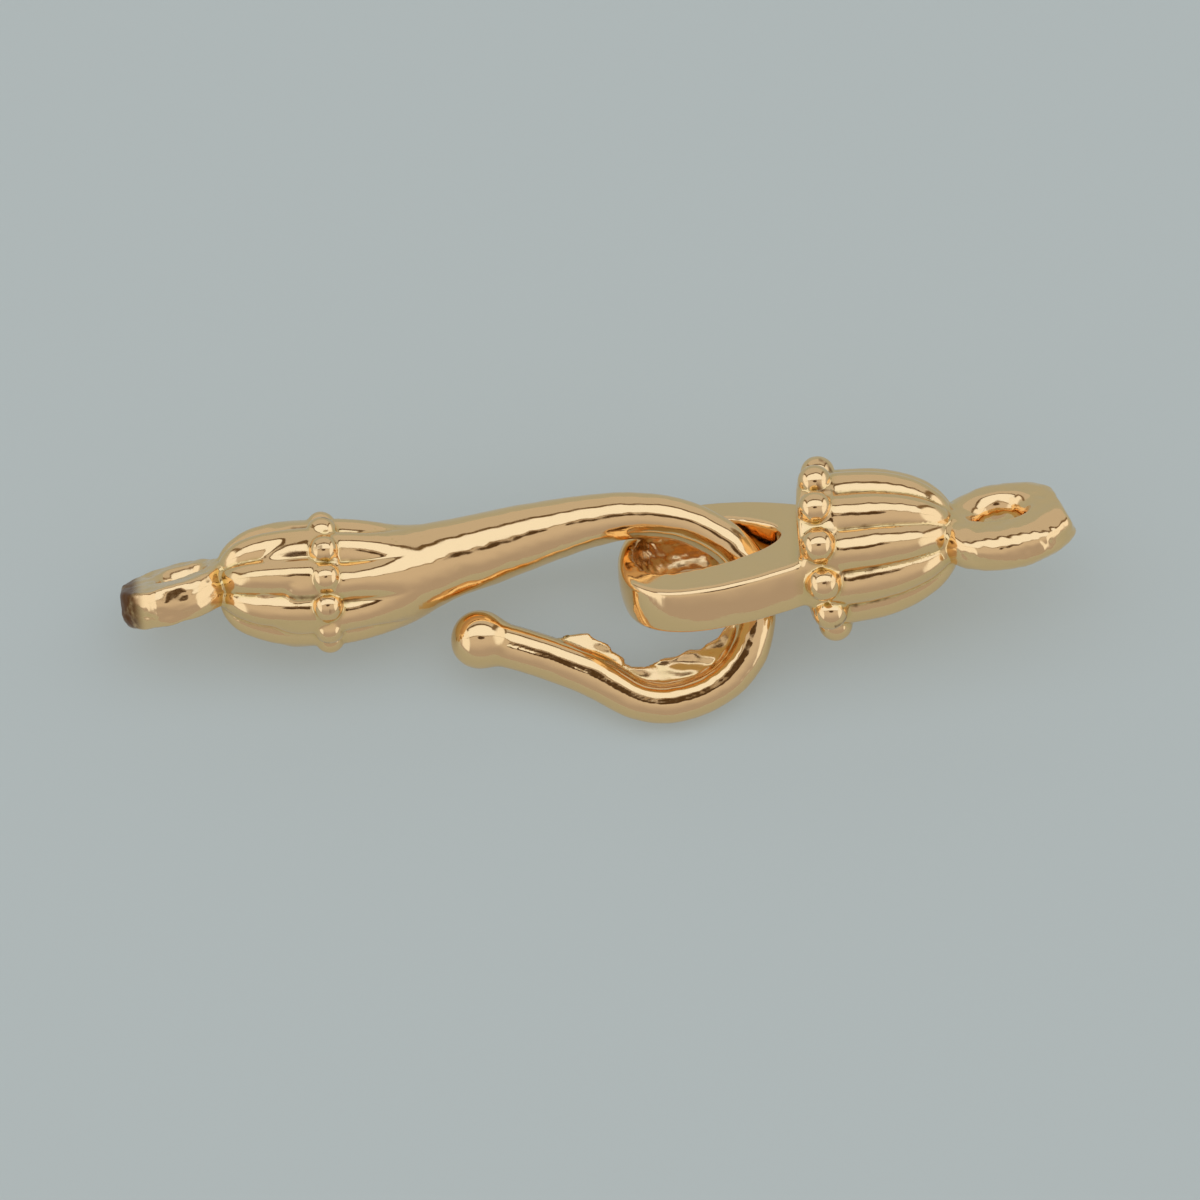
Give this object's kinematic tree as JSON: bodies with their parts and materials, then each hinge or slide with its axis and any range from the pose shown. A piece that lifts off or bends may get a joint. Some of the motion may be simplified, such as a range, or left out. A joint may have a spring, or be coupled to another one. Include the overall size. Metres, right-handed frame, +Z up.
{
  "type": "hook and eye clasp",
  "caption": "Cast jewellery clasp, fastened: a ball-tipped hook on a fluted cap, linked through an oval loop on a fluted dome, each half with a beaded collar and an attachment ring.",
  "frame": {"origin": "on the table, under the middle of the clasp's box, with the clasp lying fastened as it rests by itself", "axes": "+X from the hook's attachment ring to the eye's attachment ring, +Y to the side away from the ball tip, +Z up from the table"},
  "size_m": [0.0224, 0.0055, 0.0042],
  "materials": {
    "gold_plate": "bright rose-gold coloured plating over a cast base metal, polished, with rough cast grooves"
  },
  "bodies": {
    "root": {"hook": "gold_plate", "eye": "gold_plate"}
  },
  "joints": []
}
